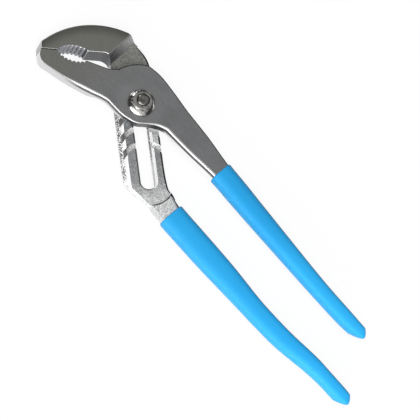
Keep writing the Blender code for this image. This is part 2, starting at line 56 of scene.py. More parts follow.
jaw = {
    "tip": Vector((-0.0686, -0.0258)),
    "angle": radians(47.1), "contact": 0.0104, "chord": 0.0205, "upperDepth": 0.003,
    "lowerDepth": 0.0033, "lowerTurn": radians(-17.1), "lowerFlat": 0.015, "toothPitch": 0.0026,
    "toothDepth": 0.0011, "toothTip": 0.0006,
}


def heading(angle):
    return Vector((cos(angle), sin(angle)))


jawAhead, slotAhead = heading(jaw["angle"]), heading(joint["slotAngle"])
slotSide = slotAhead.orthogonal()


def jawPoint(along, across):
    return jaw["tip"] + along * jawAhead + across * jawAhead.orthogonal()


def slotPoint(along, across):
    return along * slotAhead + across * slotSide


def arcPoints(centre, radius, start, end, steps):
    return [centre + radius * heading(start + (end - start) * i / steps) for i in range(steps + 1)]


def holePoints(radius):
    return arcPoints(zero, radius, 0, tau, joint["holeSteps"])[:-1]


# round stretch that rises to the left of the way from start to end
def bulgePoints(start, end, rise, steps):
    start, end = Vector(start), Vector(end)
    chord = end - start
    radius = (chord.length_squared / 4 + rise * rise) / (2 * abs(rise))
    side = chord.orthogonal().normalized() * copysign(1, rise)
    centre = (start + end) / 2 + side * (abs(rise) - radius)
    half = atan2(chord.length / 2, radius - abs(rise)) * copysign(1, rise)
    middle = atan2(side.y, side.x)
    return arcPoints(centre, radius, middle + half, middle - half, steps)


def circleThrough(a, b, c):
    chord, rise = c - a, (b - (a + c) / 2)
    radius = (chord.length_squared / 4 + rise.length_squared) / (2 * rise.length)
    return b - rise.normalized() * radius, radius


def smoothPoints(points, steps):
    points = [Vector(p) for p in points]
    padded = [2 * points[0] - points[1], *points, 2 * points[-1] - points[-2]]
    curve = []
    for a, b, c, d in zip(padded, padded[1:], padded[2:], padded[3:]):
        for i in range(steps):
            t = i / steps
            curve.append((2 * b + (c - a) * t + (2 * a - 5 * b + 4 * c - d) * t ** 2
                          + (3 * b - a - 3 * c + d) * t ** 3) / 2)
    return [*curve, points[-1]]


def cornerPoints(before, corner, after, steps):
    shares = [i / steps for i in range(steps + 1)]
    return [(1 - t) ** 2 * before + 2 * t * (1 - t) * corner + t * t * after for t in shares]


def quarterTurn(steps):
    return [pi / 2 * i / steps for i in range(steps + 1)]


def atHeight(outline, z):
    return [(p[0], p[1], z) for p in outline]


def prism(outline, *heights):
    return [atHeight(outline, z) for z in heights]


def addPiece(name, data):
    obj = bpy.data.objects.new(name, data)
    scene.collection.objects.link(obj)
    return obj


def closedMesh(solid):
    bmesh.ops.recalc_face_normals(solid, faces=solid.faces)
    mesh = bpy.data.meshes.new("solid")
    solid.to_mesh(mesh)
    solid.free()
    return mesh


# rings of equal count, joined one to the next and closed at both ends
def loftMesh(rings):
    solid = bmesh.new()
    rows = [[solid.verts.new(p) for p in ring] for ring in rings]
    for low, high in zip(rows, rows[1:]):
        for i in range(len(low)):
            solid.faces.new((low[i - 1], low[i], high[i], high[i - 1]))
    solid.faces.new(reversed(rows[0]))
    solid.faces.new(rows[-1])
    return closedMesh(solid)


# outline raised between two heights with both rims rounded: a part has points and, for the first and the
# last of them, the rim's share of the full radius
def roundedMesh(parts, rim, low, high):
    outline, shares = [], []
    for points, *ends in parts:
        first, last = rim[ends[0]], rim[ends[-1]]
        outline += points
        shares += [first + (last - first) * i / max(1, len(points) - 1) for i in range(len(points))]
    following = [*outline[1:], outline[0]]
    inward = []
    for before, place, after in zip([outline[-1], *outline], outline, following):
        ways = [(place - before).orthogonal().normalized(), (after - place).orthogonal().normalized()]
        way = (ways[0] + ways[1]).normalized()
        inward.append(way / max(joint["sharpest"], way.dot(ways[0])))
    area = sum(a.cross(b) for a, b in zip(outline, following))
    turns = quarterTurn(joint["edgeSteps"])
    rings = []
    for z, radius, steps in ((low, -joint["backRound"], turns[::-1]), (high, joint["edgeRound"], turns)):
        for turn in steps:
            inset = copysign(abs(radius) * (1 - cos(turn)), area)
            drop = radius * (1 - sin(turn))
            rings.append([(*(p + way * inset * share), z - drop * share)
                          for p, way, share in zip(outline, inward, shares)])
    return loftMesh(rings)


# (radius, height) pairs turned about Z
def turnedMesh(profile, steps):
    solid = bmesh.new()
    rows = []
    for radius, z in profile:
        turns = [tau * i / steps for i in range(steps)] if radius > 0 else [0]
        rows.append([solid.verts.new((radius * cos(t), radius * sin(t), z)) for t in turns])
    for a, b in zip(rows, rows[1:]):
        for i in range(steps):
            if len(a) == 1:
                ring = [a[0], b[i], b[i - 1]]
            elif len(b) == 1:
                ring = [a[i - 1], a[i], b[0]]
            else:
                ring = [a[i - 1], a[i], b[i], b[i - 1]]
            solid.faces.new(ring)
    return closedMesh(solid)


def setAll(target, **settings):
    for key, value in settings.items():
        setattr(target, key, value)
    return target


# the modifiers' result kept as a plain mesh
def settle(obj):
    shape = obj.evaluated_get(bpy.context.evaluated_depsgraph_get())
    mesh = bpy.data.meshes.new_from_object(shape)
    mesh.name = obj.name
    obj.modifiers.clear()
    obj.data = mesh


def combine(obj, tool, operation="DIFFERENCE"):
    setAll(obj.modifiers.new(tool.name, "BOOLEAN"), operation=operation, object=tool, solver="EXACT")
    settle(obj)
    bpy.data.objects.remove(tool)


# tool made of rings, taken from a piece unless another operation is named
def carve(obj, name, rings, operation="DIFFERENCE"):
    combine(obj, addPiece(name, loftMesh(rings)), operation)


def roundEdges(obj, width):
    setAll(obj.modifiers.new("Weld", "WELD"), merge_threshold=joint["weld"])
    setAll(obj.modifiers.new("Round", "BEVEL"), width=width, segments=joint["fineSteps"],
           limit_method="ANGLE", angle_limit=joint["fineFrom"])
    settle(obj)


def smoothShade(obj, angle=joint["smoothFrom"]):
    obj.data.shade_smooth()
    obj.data.set_sharp_from_angle(angle=radians(angle))
    normals = obj.modifiers.new("Even normals", "WEIGHTED_NORMAL")
    setAll(normals, keep_sharp=True, weight=joint["normalWeight"])
    settle(obj)


# nodes: what goes into a socket is another socket, a number or a colour
def put(value, socket):
    if isinstance(value, bpy.types.NodeSocket):
        socket.id_data.links.new(value, socket)
    elif socket.type == "RGBA":
        socket.default_value = (*value, 1)
    else:
        socket.default_value = value


# adds a node and gives its outputs
def addNode(tree, kind, inputs=(), **settings):
    node = setAll(tree.nodes.new(kind), **settings)
    for target, value in dict(inputs).items():
        put(value, node.inputs[target])
    return node.outputs


def treeOf(*values):
    return next(v.id_data for v in values if isinstance(v, bpy.types.NodeSocket))


def addMath(operation, a, b=0):
    return addNode(treeOf(a, b), "ShaderNodeMath", {0: a, 1: b}, operation=operation)[0]


def addAbs(value):
    return addMath("ABSOLUTE", value)


def addVector(operation, place, other=(0, 0, 0)):
    outputs = addNode(place.id_data, "ShaderNodeVectorMath", {0: place, 1: other}, operation=operation)
    return outputs["Vector" if operation in ("ADD", "MULTIPLY") else "Value"]


# node trees for what repeats: copies along a line of seats, or round an arc
def repeatTree(name, more):
    tree = bpy.data.node_groups.new(name, "GeometryNodeTree")
    tree.interface.new_socket("Geometry", in_out="OUTPUT", socket_type="NodeSocketGeometry")
    inputs = [("Shape", "Object"), ("Finish", "Material"), ("Count", "Int"), ("Pitch", "Float"), *more]
    for label, kind in inputs:
        tree.interface.new_socket(label, in_out="INPUT", socket_type="NodeSocket" + kind)
    index = addNode(tree, "GeometryNodeInputIndex")[0]
    return tree, addNode(tree, "NodeGroupInput"), index


def addPolar(radius, angle):
    x, y = (addMath("MULTIPLY", radius, addMath(way, angle)) for way in ("COSINE", "SINE"))
    return addNode(radius.id_data, "ShaderNodeCombineXYZ", {0: x, 1: y})[0]


def endTree(tree, given, place, turn):
    points = addNode(tree, "GeometryNodePoints", {"Count": given["Count"], "Position": place})
    shape = addNode(tree, "GeometryNodeObjectInfo", {"Object": given["Shape"]})
    copies = addNode(tree, "GeometryNodeInstanceOnPoints", {
        "Points": points[0], "Instance": shape["Geometry"], "Rotation": turn})
    solid = addNode(tree, "GeometryNodeRealizeInstances", {0: copies[0]})
    paint = addNode(tree, "GeometryNodeSetMaterial", {
        "Geometry": solid[0], "Material": given["Finish"]})
    addNode(tree, "NodeGroupOutput", {0: paint[0]})
    return tree


def seatTree():
    tree, given, index = repeatTree("seatRow", [("Angle", "Float")])
    along = addMath("MULTIPLY", index, given["Pitch"])
    return endTree(tree, given, addPolar(along, given["Angle"]), (0, 0, 0))


def toothTree():
    tree, given, index = repeatTree("toothRow", [
        ("Radius", "Float"), ("Facing", "Float"), ("Centre", "Vector")])
    middle = addMath("DIVIDE", addMath("SUBTRACT", given["Count"], 1), 2)
    step = addMath("DIVIDE", given["Pitch"], given["Radius"])
    turn = addMath("MULTIPLY", addMath("SUBTRACT", index, middle), step)
    turn = addMath("ADD", turn, given["Facing"])
    place = addVector("ADD", addPolar(given["Radius"], turn), given["Centre"])
    spin = addNode(tree, "ShaderNodeCombineXYZ", {2: turn})[0]
    return endTree(tree, given, place, spin)


# copies of a ring shape, as one object
def runTree(name, tree, rings, values):
    shape = addPiece("shape", loftMesh(rings))
    obj = addPiece(name, bpy.data.meshes.new(name))
    change = setAll(obj.modifiers.new("Repeat", "NODES"), node_group=tree)
    values = {"Shape": shape, **values}
    for item in tree.interface.items_tree:
        if item.in_out == "INPUT" and item.name in values:
            change[item.identifier] = values[item.name]
    settle(obj)
    bpy.data.objects.remove(shape)
    return obj


seatRow = seatTree()
toothRow = toothTree()


# V-shaped gullets along a round pocket
def gullets(name, pocket):
    start, middle, end = pocket[0], pocket[len(pocket) // 2], pocket[-1]
    centre, radius = circleThrough(start, middle, end)
    inward = middle - centre
    half = asin((end - start).length / 2 / radius)
    depth, wide = jaw["toothDepth"], (jaw["toothPitch"] - jaw["toothTip"]) / 2
    notch = [(depth, 0), (0, wide), (-depth, wide), (-depth, -wide), (0, -wide)]
    rings = prism(notch, backFace - over, frontFace + over)
    return runTree(name, toothRow, rings, {
        "Count": int(2 * half * radius / jaw["toothPitch"]), "Pitch": jaw["toothPitch"],
        "Radius": radius, "Facing": atan2(inward.y, inward.x), "Centre": (centre.x, centre.y, 0)})


def ringStretch(width, sweep, low, high, steps):
    back = joint["slotAngle"] + pi
    outline = arcPoints(zero, joint["grooveRadius"] + width / 2, back - sweep, back + sweep, steps)
    outline += arcPoints(zero, joint["grooveRadius"] - width / 2, back + sweep, back - sweep, steps)
    return prism(outline, low, high)


# stations along a handle: x, middle of the width, width
handle = {
    "thick": 0.009, "endThick": 0.007,
    "front": [
        (0.024, 0.01067, 0.01945), (0.034, 0.01055, 0.0185), (0.047, 0.01045, 0.0167),
        (0.0665, 0.01015, 0.0127), (0.0846, 0.00955, 0.0121), (0.107, 0.00865, 0.011),
        (0.161, 0.00695, 0.0081), (0.188, 0.00685, 0.0074), (0.1985, 0.0072, 0.0063)],
    "back": [
        (0.0139, -0.0017, 0.0166), (0.0189, -0.0025, 0.016), (0.0256, -0.0037, 0.0148),
        (0.0599, -0.004, 0.0143), (0.08, -0.004, 0.0131), (0.1024, -0.0044, 0.0109),
        (0.1149, -0.00435, 0.0104), (0.1343, -0.00345, 0.0099), (0.1559, -0.00072, 0.0083),
        (0.1699, 0.0001, 0.0069), (0.1834, 0.0002, 0.0066)],
    "frontMouth": 0.0665, "frontEnd": 0.2081, "backMouth": 0.0256, "backEnd": 0.1922, "steps": 6,
    "endRise": 1 / 3,
}
slotEnd = slotPoint(joint["slotLength"], 0)
backStations = [(slotEnd.x + x, slotEnd.y + y, w) for x, y, w in handle["back"]]
frontMiddle = frontFace - handle["thick"] / 2
backMiddle = backFace + handle["thick"] / 2


def thicknessAt(x, mouth, end):
    share = min(1, max(0, (x - mouth) / (end - mouth)))
    return handle["thick"] + (handle["endThick"] - handle["thick"]) * share


def handleEdges(stations):
    line = smoothPoints(stations, handle["steps"])
    upper = [Vector((x, y + w / 2)) for x, y, w in line]
    lower = [Vector((x, y - w / 2)) for x, y, w in reversed(line)]
    return upper, lower


def handleEnd(start, end, width):
    return bulgePoints(start, end, width * handle["endRise"], joint["endSteps"])[1:-1]


# side view that gives a forging its thickness
def sideRings(jawBack, stepX, middle, mouth, end):
    far, close = jaw["tip"].x - reach, 1e-6
    upper, lower = [(far, frontFace)], [(far, jawBack)]
    if jawBack < backFace:
        lower += [(backForging["stepTop"], jawBack), (backForging["stepFoot"], backFace)]
    if middle + handle["thick"] / 2 < frontFace - close:
        upper.append((stepX, frontFace))
    if middle - handle["thick"] / 2 > backFace + close:
        lower.append((stepX, backFace))
    for x in (stepX, mouth, end, end + over):
        half = thicknessAt(x, mouth, end) / 2
        upper.append((x, middle + half))
        lower.append((x, middle - half))
    outline = upper + lower[::-1]
    return [[(x, y, z) for x, z in outline] for y in (reach, -reach)]


frontPlate = {
    "shoulder": 0.0267, "shoulderTurn": (radians(170), radians(126)), "shoulderSteps": 16,
    "crown": [(-0.0059, 0.0231), (0.0062, 0.0224)],
    "eye": 0.0138, "eyeTurn": (radians(-36), radians(-76)), "eyeSteps": 18,
    "neck": [(0.0187, -0.0014), (0.0142, -0.0051)],
    "waist": [(-0.002, -0.0149), (-0.0085, -0.0154)],
    "neckSteps": 3, "heel": (-0.0165, -0.0155), "heelTo": 2, "heelSteps": 6,
    "belly": (-0.0568, -0.0304), "bellyRise": 0.0014, "bellySteps": 12, "bellyFrom": 5,
    "noseRise": 0.0026, "noseSteps": 9, "bellyDraft": 0.0026, "bellyDraftRise": 0.0044,
    "noseDraftShare": 0.4, "relief": 0.0288, "reliefTurn": (radians(75), radians(285)),
    "reliefSteps": 72, "reliefDraft": 0.022, "reliefTo": 0.0265, "tongueSteps": 12,
    "stepX": -0.0044, "boltHole": 0.0049,
    "rim": {"tip": 0.16, "mouth": 0.24, "far": 0.36, "near": 0.9, "eye": 0.4, "heel": 0.5, "belly": 0.3},
}


# draws in the back edge of the lower jaw's outer side, less so towards the tip
def bellyDraft(path, shares):
    ahead = [b - a for a, b in zip([path[0], *path], [*path[1:], path[-1]])]
    rings = []
    for place, way, share in zip(path, ahead, shares):
        out = way.orthogonal().normalized()
        rise, draft = frontPlate["bellyDraftRise"] * share, frontPlate["bellyDraft"] * share
        inner, outer = place - out * draft * (1 + over / rise), place + out * over
        low, high = backFace - over, backFace + rise * (1 + over / draft)
        rings.append([(*inner, low), (*outer, low), (*outer, high)])
    return rings


def makeFrontHalf():
    p, steps = frontPlate, handle["steps"]
    ahead = heading(jaw["angle"] + jaw["lowerTurn"])
    mouth, start = jawPoint(0, -gap / 2), jawPoint(jaw["contact"], -gap / 2)
    end = start + jaw["chord"] * ahead
    pocket = bulgePoints(start, end, -jaw["lowerDepth"], joint["pocketSteps"])
    upper, lower = handleEdges(handle["front"])
    tangEnd, _, endWidth = handle["front"][-1]
    shoulder = arcPoints(zero, p["shoulder"], *p["shoulderTurn"], p["shoulderSteps"])
    crown = smoothPoints([shoulder[-2], shoulder[-1], *p["crown"], upper[0], upper[steps]], steps)
    eye = arcPoints(zero, p["eye"], *p["eyeTurn"], p["eyeSteps"])
    neck = smoothPoints([lower[-1], *p["neck"], eye[0]], p["neckSteps"])
    waist = smoothPoints([eye[-1], *p["waist"], p["heel"]], p["neckSteps"])[1:-1]
    belly = bulgePoints(p["heel"], p["belly"], p["bellyRise"], p["bellySteps"])
    nose = bulgePoints(p["belly"], mouth, p["noseRise"], p["noseSteps"])[1:]
    heelTo, bellyFrom = p["heelTo"], p["bellyFrom"]
    heel = cornerPoints(waist[-1], belly[0], belly[heelTo], p["heelSteps"])[:-1]
    tang = handleEnd(upper[-1], lower[0], endWidth)
    parts = [([mouth, start], "tip"),
             ([*pocket[1:], end + jaw["lowerFlat"] * ahead], "mouth"),
             (shoulder[:-1] + crown[steps:-steps - 1] + upper + tang, "far"),
             (lower[:-1], "near"),
             (neck[:-1], "near", "eye"),
             (eye, "eye"),
             (waist[:-1], "eye", "heel"),
             (heel + belly[heelTo:bellyFrom], "heel", "near"),
             (belly[bellyFrom:], "near", "belly"),
             (nose[:-1], "belly", "tip")]
    obj = addPiece("frontHalf", roundedMesh(parts, p["rim"], backFace, frontFace))
    side = sideRings(backFace, p["stepX"], frontMiddle, handle["frontMouth"], tangEnd)
    carve(obj, "side", side, "INTERSECT")
    roundEdges(obj, joint["fineRound"])

    beyond = nose[-1] + (nose[-1] - nose[-2]).normalized() * over
    fade = [1 - (1 - p["noseDraftShare"]) * (i + 1) / len(nose) for i in range(len(nose))]
    shares = [1] * len(belly) + fade + [p["noseDraftShare"]]
    carve(obj, "bellyDraft", bellyDraft([*belly, *nose, beyond], shares))

    relief = []
    for z, draft in ((backFace - over, p["reliefDraft"]), (tongueFace, 0)):
        ring = arcPoints(zero, p["relief"] + draft, *p["reliefTurn"], p["reliefSteps"])
        ring += [Vector((p["reliefTo"] + draft, y)) for y in (-reach, reach)]
        relief.append(atHeight(ring, z))
    carve(obj, "relief", relief)

    width = joint["grooveWidth"] - 2 * gap
    sweep = asin((joint["slotHalf"] - gap) / (joint["grooveRadius"] + width / 2))
    low = tongueFace - joint["grooveDepth"] + gap
    high = tongueFace + joint["lap"] / 2
    carve(obj, "tongue", ringStretch(width, sweep, low, high, p["tongueSteps"]), "UNION")
    carve(obj, "boltHole", prism(holePoints(p["boltHole"]), backFace - over, frontFace + over))
    combine(obj, gullets("lowerGullets", pocket))
    smoothShade(obj)
    return obj


backForging = {
    "railLeft": 0.0152, "railRight": 0.0115, "railBevel": 0.0036, "slotBevel": 0.0014,
    "slotSteps": 32, "grooveSteps": 28, "stepRadius": 0.0164, "stepSteps": 64, "stepTop": -0.0376,
    "stepFoot": -0.0326, "stepLean": 0.038, "heel": (-0.0402, 0.0264),
    "neck": [(-0.0338, 0.0272), (-0.0275, 0.0275), (-0.0207, 0.0267), (-0.0136, 0.0237)],
    "neckSteps": 4, "throatRound": 0.0055, "throatSteps": 8, "cornerRound": 0.004,
    "cornerSteps": 7, "hip": (0.004, 0.01235), "tipDepth": 0.0048, "backRise": 0.0082,
    "backSteps": 20, "jawSetback": 0.003, "arcRound": 0.0014, "stepRound": 0.0007, "roundSteps": 4,
    "flankEnd": 0.006, "rimChamfer": (0.0015, 0.0015), "rimFrom": 0.001, "rimStop": 0.0003,
    "baseChamfer": (0.0034, 0.002),
    "room": [(0.0134, 0.0028), (0.0204, 0.0055)],
    "rim": {"tip": 0.16, "mouth": 0.24, "far": 0.32},
}


# cutter for a chamfer to the left of a way, below a face at z
def chamferRings(way, z, cut, drop):
    past, rings = over / 4, []
    rise = past * drop / cut
    for before, place, after in zip([way[0], *way], way, [*way[1:], way[-1]]):
        out = (after - before).orthogonal().normalized()
        inner, outer = place - out * (cut + past), place + out * past
        rings.append([(*inner, z + rise), (*outer, z - drop - rise), (*outer, z + rise)])
    return rings


# round back edge of the upper jaw, from the heel to the tip
def jawBackEdge(steps):
    tip = jawPoint(0, backForging["tipDepth"])
    return bulgePoints(backForging["heel"], tip, -backForging["backRise"], steps)


def makeBackHalf():
    p, length, steps = backForging, joint["slotLength"], handle["steps"]
    mouth, start = jawPoint(0, gap / 2), jawPoint(jaw["contact"], gap / 2)
    pocketEnd = jawPoint(jaw["contact"] + jaw["chord"], gap / 2)
    pocket = bulgePoints(start, pocketEnd, jaw["upperDepth"], joint["pocketSteps"])
    upper, lower = handleEdges(backStations)
    tangEnd, _, endWidth = backStations[-1]
    throat = jawPoint((-p["railLeft"] - mouth.dot(slotSide)) / jawAhead.dot(slotSide), gap / 2)
    throatLine = cornerPoints(throat - jawAhead * p["throatRound"], throat,
                              throat + slotAhead * p["throatRound"], p["throatSteps"])
    corner = slotPoint(length, -p["railLeft"])
    turn = (lower[-1] - corner).normalized()
    cornerLine = cornerPoints(corner - slotAhead * p["cornerRound"], corner,
                              corner + turn * p["cornerRound"], p["cornerSteps"])
    hip = slotPoint(length + p["hip"][0], p["hip"][1])
    railFrom = slotPoint(length - joint["seatPitch"], p["railRight"])
    rail = smoothPoints([upper[1], upper[0], hip, railFrom, slotPoint(0, p["railRight"])], steps)
    railTo = slotPoint(-joint["grooveRadius"], p["railRight"])
    neck = smoothPoints([railTo, *p["neck"][::-1], p["heel"]], p["neckSteps"])
    jawEdge = jawBackEdge(p["backSteps"])[1:]
    tang = handleEnd(lower[0], upper[-1], -endWidth)
    parts = [([mouth, start], "tip"),
             (pocket[1:] + throatLine, "mouth"),
             (cornerLine + lower[::-1] + tang + upper[::-1], "far"),
             (rail[steps + 1:-steps] + neck + jawEdge[:-1], "far"),
             (jawEdge[-1:], "tip")]
    jawBack = backFace - p["jawSetback"]
    obj = addPiece("backHalf", roundedMesh(parts, p["rim"], jawBack, frontFace))
    stepX, gripX = slotEnd.x - p["stepRadius"], slotEnd.x + handle["backMouth"]
    carve(obj, "side", sideRings(jawBack, stepX, backMiddle, gripX, tangEnd), "INTERSECT")
    roundEdges(obj, joint["fineRound"])

    # recess for the front half, with both top edges of the steps rounded
    span, top, right = 2 * p["stepRadius"], frontFace + over, joint["slotAngle"] - pi / 2
    slope = (p["stepTop"] - p["stepFoot"]) / (frontFace - recessFace)
    base = backFace + handle["thick"]
    levels = [(recessFace, 0, 0)]
    for z, wide, onArc in ((base, p["arcRound"], True), (frontFace, p["stepRound"], False)):
        for t in quarterTurn(p["roundSteps"]):
            inset = wide * (1 - cos(t))
            levels.append((z + wide * (sin(t) - 1), *((0, inset) if onArc else (inset, p["arcRound"]))))
    levels.append((top, p["stepRound"] + over, p["arcRound"]))
    recess = []
    for z, lean, grow in levels:
        edge = p["stepFoot"] + slope * (min(z, frontFace) - recessFace) - lean
        ring = [Vector((edge - p["stepLean"] * y, y)) for y in (span, -span / 2)]
        ring += [slotPoint(0, -span), slotPoint(length, -span)]
        ring += arcPoints(slotEnd, p["stepRadius"] + grow, right, right + pi, p["stepSteps"])
        ring += [slotPoint(length, span), slotPoint(0, span)]
        recess.append(atHeight(ring, z))
    carve(obj, "recess", recess)

    flank = []
    low, high = recessFace - p["railBevel"] - over, recessFace + over
    for along in (-joint["grooveRadius"], length + p["flankEnd"]):
        foot = slotPoint(along, -p["railLeft"] - over)
        inner = slotPoint(along, -p["railLeft"] + p["railBevel"] + over)
        flank.append([(*foot, low), (*inner, high), (*foot, high)])
    carve(obj, "railFlank", flank)

    # chamfer along the right-hand rim of the neck and rail, as far as the round step
    way = [q for q in neck[::-1] if q.x > p["stepFoot"] + p["rimFrom"]]
    limit = p["stepRadius"] - p["rimStop"]
    line = rail[3 * steps:steps - 1:-1] + upper[1:steps]
    for a, b in zip(line, line[1:]):
        near, far = (a - slotEnd).length, (b - slotEnd).length
        if near < limit:
            way += [a] if far < limit else [a, a.lerp(b, (limit - near) / (far - near))]
    carve(obj, "rimChamfer", chamferRings(way, recessFace, *p["rimChamfer"]))
    way = upper[:2 * steps + 1:steps]
    way = [2 * way[0] - way[1], *way, way[2] + (way[2] - way[1]) / 4]
    carve(obj, "baseChamfer", chamferRings(way, base, *p["baseChamfer"]))
    # room beside the base for the front half at the last seat
    ring = [slotEnd + Vector(q) for q in p["room"]]
    ring += [Vector((q.x, slotEnd.y + p["stepRadius"])) for q in ring[::-1]]
    carve(obj, "room", prism(ring, recessFace, top))

    slot = []
    lip = recessFace - p["slotBevel"]
    for z, grow in ((backFace - over, 0), (lip, 0), (top, top - lip)):
        radius = joint["slotHalf"] + grow
        ring = arcPoints(zero, radius, right + pi, right + tau, p["slotSteps"])
        ring += arcPoints(slotEnd, radius, right, right + pi, p["slotSteps"])
        slot.append(atHeight(ring, z))
    carve(obj, "slot", slot)

    floor = recessFace - joint["grooveDepth"]
    stretch = ringStretch(joint["grooveWidth"], joint["grooveSweep"], floor, top, p["grooveSteps"])
    combine(obj, runTree("grooves", seatRow, stretch, {
        "Count": joint["seats"], "Pitch": joint["seatPitch"], "Angle": joint["slotAngle"]}))
    far = -joint["grooveRadius"] - joint["grooveWidth"] / 2
    ring = [slotPoint(a, s * joint["slotHalf"]) for a, s in ((0, 1), (far, 1), (far, -1), (0, -1))]
    carve(obj, "channel", prism(ring, floor, top))
    combine(obj, gullets("upperGullets", pocket))
    smoothShade(obj)
    return obj


grip = {
    "wall": 0.0018, "clear": 0.00022, "lip": 0.0009, "lipSteps": 6, "square": 2.8,
    "innerSquare": 9.0, "sides": 72, "endRings": 14, "endOver": 0.4, "farTaper": 0.45,
    "taperPower": 0.62, "steps": 10, "smoothFrom": 60,
}


def gripRing(x, y, z, wide, thick, square):
    ring = []
    for i in range(grip["sides"]):
        turn = tau * i / grip["sides"]
        c, s = cos(turn), sin(turn)
        across = copysign(abs(c) ** (2 / square), c) * wide
        height = copysign(abs(s) ** (2 / square), s) * thick
        ring.append((x, y + across, z + height))
    return ring


def stationAt(line, x):
    for a, b in zip(line, line[1:]):
        if x <= b.x:
            return a.lerp(b, (x - a.x) / (b.x - a.x))
    return line[-1]


def makeGrip(name, stations, middle, mouth, end):
    line = smoothPoints(stations, grip["steps"])
    tang = stations[-1][0]
    lip, wall, clear = grip["lip"], grip["wall"], grip["clear"]
    square, innerSquare = grip["square"], grip["innerSquare"]

    def sizes(place, more):
        return place.z / 2 + more, thicknessAt(place.x, mouth, tang) / 2 + more

    def ringAt(place, more, shape):
        return gripRing(place.x, place.y, middle, *sizes(place, more), shape)

    inside = [p for p in line if p.x > mouth + 2 * lip]
    last = line[-1]
    room = Vector((last.x + last.z * handle["endRise"] + gap, last.y, last.z))
    rings = [ringAt(p, clear, innerSquare) for p in [room, *inside[::-1], stationAt(line, mouth + lip)]]
    for i in range(grip["lipSteps"] + 1):   # rolled edge of the mouth
        turn = pi * i / grip["lipSteps"]
        p = stationAt(line, mouth + lip - lip * sin(turn))
        more = (clear + wall) / 2 - (wall - clear) / 2 * cos(turn)
        rings.append(ringAt(p, more, innerSquare + (square - innerSquare) * min(1, i / 2)))
    rings += [ringAt(p, wall, square) for p in inside]
    slope = (last.y - line[-2].y) / (last.x - line[-2].x)
    wide, thick = sizes(last, wall)
    for i in range(1, grip["endRings"] + 1):   # blunt end, fuller on its far side
        left = cos(pi / 2 * i / (grip["endRings"] + grip["endOver"]))
        share = 1 - left * left
        ahead = (end - last.x) * share
        far = min(1, (1 - share) / grip["farTaper"]) ** grip["taperPower"]
        near = (1 - share) ** grip["taperPower"]
        aside = last.y + slope * ahead + wide * (far - near) / 2
        rings.append(gripRing(last.x + ahead, aside, middle, wide * (far + near) / 2, thick * left, square))
    obj = addPiece(name, loftMesh(rings))
    smoothShade(obj, grip["smoothFrom"])
    return obj


bolt = {
    "shank": 0.0046, "thread": 0.004, "head": 0.009, "headHeight": 0.004, "headRound": 0.0003,
    "headChamfer": 0.001, "chamferMiddle": (0.3, 0.35), "tip": 0.0259, "tipRound": 0.0016,
    "tipSteps": 6, "dish": 0.00025,
    "dishEdge": [(1.5, 1), (1.25, 0.2)],
    "steps": 96, "smoothFrom": 35,
}


def makeBolt():
    b, r, head = bolt, bolt["tipRound"], bolt["head"]
    profile = [(0, b["tip"] - b["dish"])]
    profile += [(b["thread"] - wide * r, b["tip"] - deep * b["dish"]) for wide, deep in b["dishEdge"]]
    profile += [(b["thread"] - r + r * sin(t), b["tip"] - r + r * cos(t))
                for t in quarterTurn(b["tipSteps"])]
    inset, rise = (share * b["headChamfer"] for share in b["chamferMiddle"])
    profile += [(b["thread"], frontFace), (b["shank"], frontFace),
                (b["shank"], b["headHeight"]), (head - b["headRound"], b["headHeight"]),
                (head, b["headHeight"] - b["headRound"]), (head, b["headChamfer"]),
                (head - inset, rise), (head - b["headChamfer"], 0), (0, 0)]
    obj = addPiece("pivotBolt", turnedMesh(profile, b["steps"]))
    smoothShade(obj, b["smoothFrom"])
    return obj


nut = {
    "seat": 0.0186, "flats": 0.013, "height": 0.0065, "turn": radians(12 + 30),
    "cornerRound": 0.0003, "land": 0.0047, "dome": (0.0027, 0.0016), "domeSteps": 10,
    "domeRings": 9, "crownDrop": 0.0006, "flange": 0.00895, "rim": 0.0011, "rise": 0.0016,
    "skirtFoot": (0.0002, 0.55),
    "rimRound": [(0.0004, 0), (0.0001, 0.00025), (0, 0.0006)],
    "rimFoot": 0.0002, "bore": 0.0043, "steps": 96, "smoothFrom": 32,
}


def makeNut():
    n, seat = nut, nut["seat"]
    top, corner, shelf = seat + n["height"], n["flats"] / sqrt(3), seat + n["rim"]
    hexagon = arcPoints(zero, corner, n["turn"], n["turn"] + tau, 6)[:-1]
    obj = addPiece("flangeNut", loftMesh(prism(hexagon, seat, top)))
    roundEdges(obj, n["cornerRound"])
    wide, deep = n["dome"]
    crown = [(0, top)] + [(n["land"] + wide * sin(t), top - deep * (1 - cos(t)))
                          for t in quarterTurn(n["domeSteps"])[:n["domeRings"]]]
    crown += [(corner + gap, crown[-1][1] - n["crownDrop"]),
              (corner + gap, seat - over), (0, seat - over)]
    combine(obj, addPiece("nutCrown", turnedMesh(crown, n["steps"])), "INTERSECT")
    outside, share = n["skirtFoot"]
    skirt = [(0, shelf + n["rise"]), (corner - n["rise"] / 2, shelf + n["rise"]),
             (corner + outside, shelf + share * n["rise"])]
    skirt += [(n["flange"] - inset, shelf - drop) for inset, drop in n["rimRound"]]
    skirt += [(n["flange"], seat + n["rimFoot"]), (n["flange"] - n["rimFoot"], seat), (0, seat)]
    combine(obj, addPiece("nutSkirt", turnedMesh(skirt, n["steps"])), "UNION")
    carve(obj, "nutBore", prism(holePoints(n["bore"]), seat - over, top + over))
    smoothShade(obj, n["smoothFrom"])
    return obj


